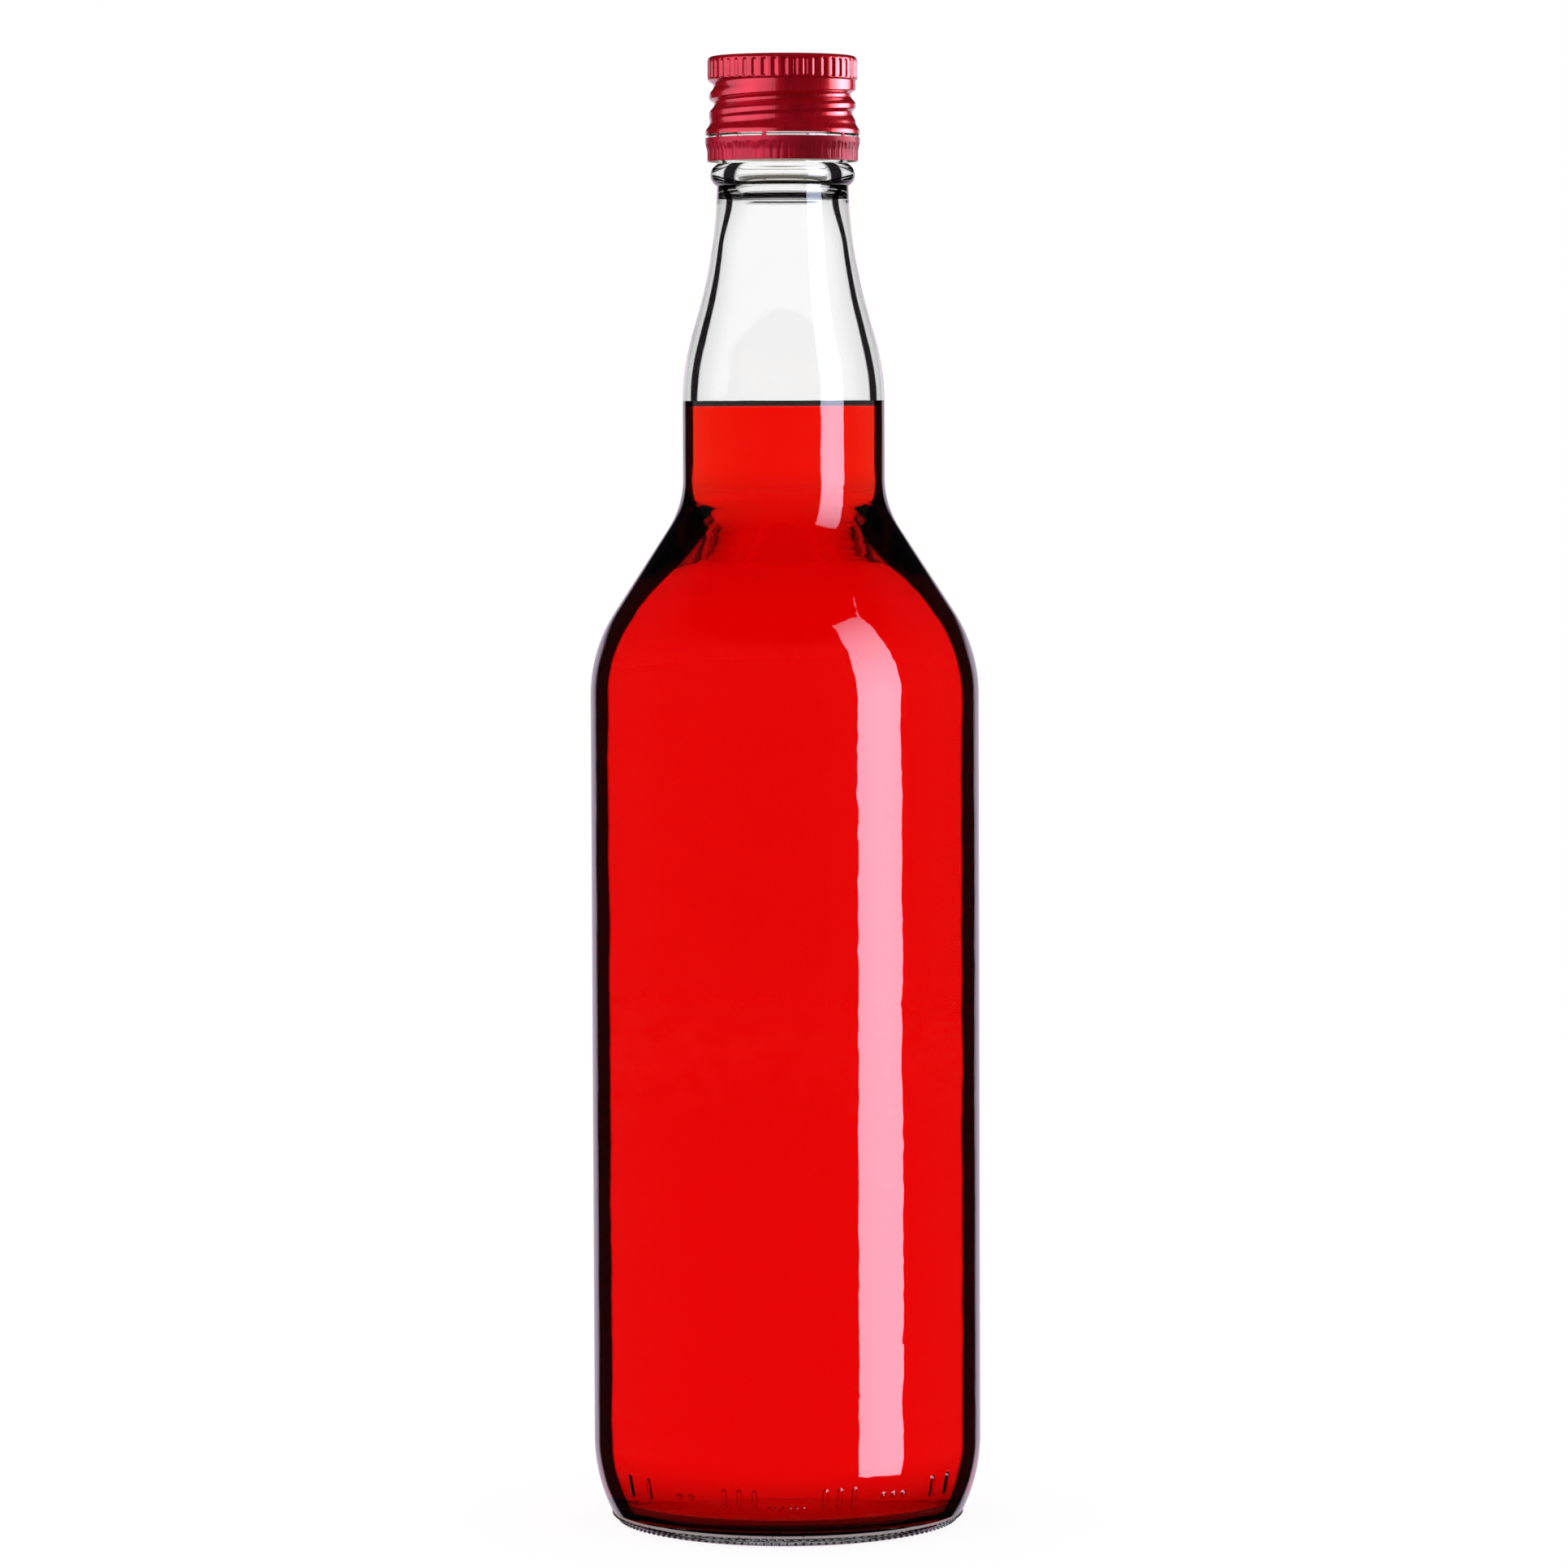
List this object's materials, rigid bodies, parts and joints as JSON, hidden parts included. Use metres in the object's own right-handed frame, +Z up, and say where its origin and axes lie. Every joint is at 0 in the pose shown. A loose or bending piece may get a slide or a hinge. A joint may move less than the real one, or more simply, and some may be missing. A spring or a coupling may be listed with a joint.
{
  "type": "glass bottle with screw cap",
  "caption": "Clear glass spirits-type bottle with a bulged neck, red contents and a knurled aluminium screw cap over a tear-off tamper band.",
  "frame": {"origin": "centre of the ring that the bottle stands on, on the standing plane", "axes": "+Z up along the bottle's axis, -Y towards the viewer of the picture, +X to that viewer's right"},
  "size_m": [0.075, 0.075, 0.2832],
  "materials": {
    "clear_glass": "polished",
    "red_liquid": "gloss",
    "red_lacquer": "gloss",
    "liner_white": "satin"
  },
  "bodies": {
    "bottle": {"glass_bottle": "clear_glass", "liquid_fill": "red_liquid"},
    "band": {"pilfer_band": "red_lacquer"},
    "liner": {"cap_liner": "liner_white"},
    "cap": {"cap_shell": "red_lacquer"}
  },
  "joints": [
    {"name": "band_spin", "type": "hinge", "parent": "bottle", "child": "band", "pos_m": [0, 0, 0.2654], "axis": [0, 0, 1], "continuous": true},
    {"name": "cap_lift", "type": "slide", "parent": "bottle", "child": "liner", "axis": [0, 0, 1], "range_m": [0, 0.0156]},
    {"name": "cap_turn", "type": "hinge", "parent": "liner", "child": "cap", "pos_m": [0, 0, 0.2757], "axis": [0, 0, 1], "range_deg": [0, 1620]}
  ],
  "couplings": [
    {"joint": "cap_lift", "follows": "cap_turn", "m_per_rad": 0.00054909}
  ]
}
